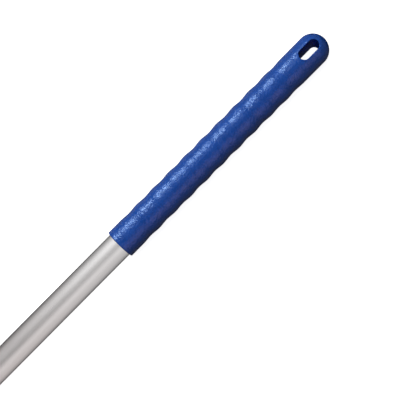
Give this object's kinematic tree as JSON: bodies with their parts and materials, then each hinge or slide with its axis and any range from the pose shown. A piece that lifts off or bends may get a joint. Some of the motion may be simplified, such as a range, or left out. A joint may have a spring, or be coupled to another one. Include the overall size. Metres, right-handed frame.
{
  "type": "screw-in pole handle",
  "caption": "Straight aluminium pole handle with a blue ring-waved grip, a hang hole and a black plastic male screw end.",
  "frame": {"origin": "on the handle's axis, at the lower end of the tube where the collar of the screw end bears on it", "axes": "+X along the handle to the grip; +Z along the hang hole; +Y completes a right-handed frame, along the cross pin"},
  "size_m": [1.4, 0.0302, 0.0302],
  "materials": {
    "grip_plastic": "blue polypropylene, fine moulded texture, satin",
    "tube_aluminium": "drawn and satin anodised, silver",
    "insert_plastic": "black moulded plastic, satin",
    "pin_steel": "plated spring steel"
  },
  "bodies": {
    "root": {"grip": "grip_plastic", "pole_tube": "tube_aluminium", "threaded_insert": "insert_plastic", "cross_pin": "pin_steel"}
  },
  "joints": []
}
